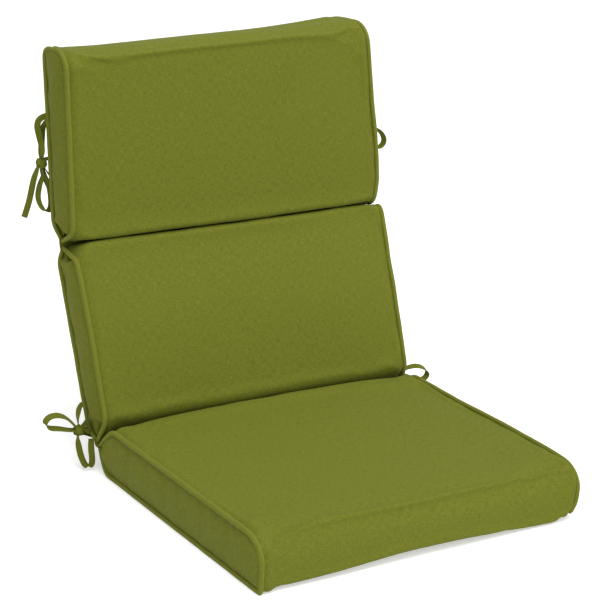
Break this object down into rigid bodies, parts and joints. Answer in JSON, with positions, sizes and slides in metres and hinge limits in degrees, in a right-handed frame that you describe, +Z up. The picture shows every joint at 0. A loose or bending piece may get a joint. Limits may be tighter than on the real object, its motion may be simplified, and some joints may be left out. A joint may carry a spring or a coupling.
{
  "type": "high-back chair cushion",
  "caption": "Three-section padded chair cushion with piped welts, two sewn hinge seams and tie tapes knotted in bows.",
  "frame": {"origin": "middle of the seat's flat underside", "axes": "+Z up, +X across the width, the seat's front edge towards -Y, the back rising at +Y"},
  "size_m": [0.6828, 0.6378, 0.5751],
  "materials": {
    "cover_cloth": "matte",
    "piping_cloth": "matte",
    "seam_cloth": "matte",
    "tie_tape": "matte",
    "fibre_fill": "matte",
    "filler_cord": "matte"
  },
  "bodies": {
    "seat": {"seat_bottom_left_filler_cord": "filler_cord", "seat_bottom_left_welt": "piping_cloth", "seat_bottom_panel": "cover_cloth", "seat_bottom_right_filler_cord": "filler_cord", "seat_bottom_right_welt": "piping_cloth", "seat_face_panel": "cover_cloth", "seat_fill": "fibre_fill", "seat_gusset_left": "cover_cloth", "seat_gusset_right": "cover_cloth", "seat_hinge_seam": "seam_cloth", "seat_top_left_filler_cord": "filler_cord", "seat_top_left_welt": "piping_cloth", "seat_top_right_filler_cord": "filler_cord", "seat_top_right_welt": "piping_cloth"},
    "back": {"back_face_panel": "cover_cloth", "back_fill": "fibre_fill", "back_front_left_filler_cord": "filler_cord", "back_front_left_welt": "piping_cloth", "back_front_right_filler_cord": "filler_cord", "back_front_right_welt": "piping_cloth", "back_gusset_left": "cover_cloth", "back_gusset_right": "cover_cloth", "back_rear_left_filler_cord": "filler_cord", "back_rear_left_welt": "piping_cloth", "back_rear_panel": "cover_cloth", "back_rear_right_filler_cord": "filler_cord", "back_rear_right_welt": "piping_cloth", "head_hinge_seam": "seam_cloth", "hinge_tie_left_a": "tie_tape", "hinge_tie_left_b": "tie_tape", "hinge_tie_left_knot": "tie_tape", "hinge_tie_right_a": "tie_tape", "hinge_tie_right_b": "tie_tape", "hinge_tie_right_knot": "tie_tape"},
    "head": {"head_cover_panel": "cover_cloth", "head_edge_left_filler_cord": "filler_cord", "head_edge_left_welt": "piping_cloth", "head_edge_right_filler_cord": "filler_cord", "head_edge_right_welt": "piping_cloth", "head_fill": "fibre_fill", "head_gusset_left": "cover_cloth", "head_gusset_right": "cover_cloth", "head_tie_left_a": "tie_tape", "head_tie_left_b": "tie_tape", "head_tie_left_knot": "tie_tape", "head_tie_right_a": "tie_tape", "head_tie_right_b": "tie_tape", "head_tie_right_knot": "tie_tape"}
  },
  "joints": [
    {"name": "back_fold", "type": "hinge", "parent": "seat", "child": "back", "pos_m": [0, 0.218, 0.037], "axis": [1, 0, 0], "range_deg": [-64, 6]},
    {"name": "head_fold", "type": "hinge", "parent": "back", "child": "head", "pos_m": [0, 0.34489, 0.29832], "axis": [-1, 0, 0], "range_deg": [-6, 60]}
  ]
}
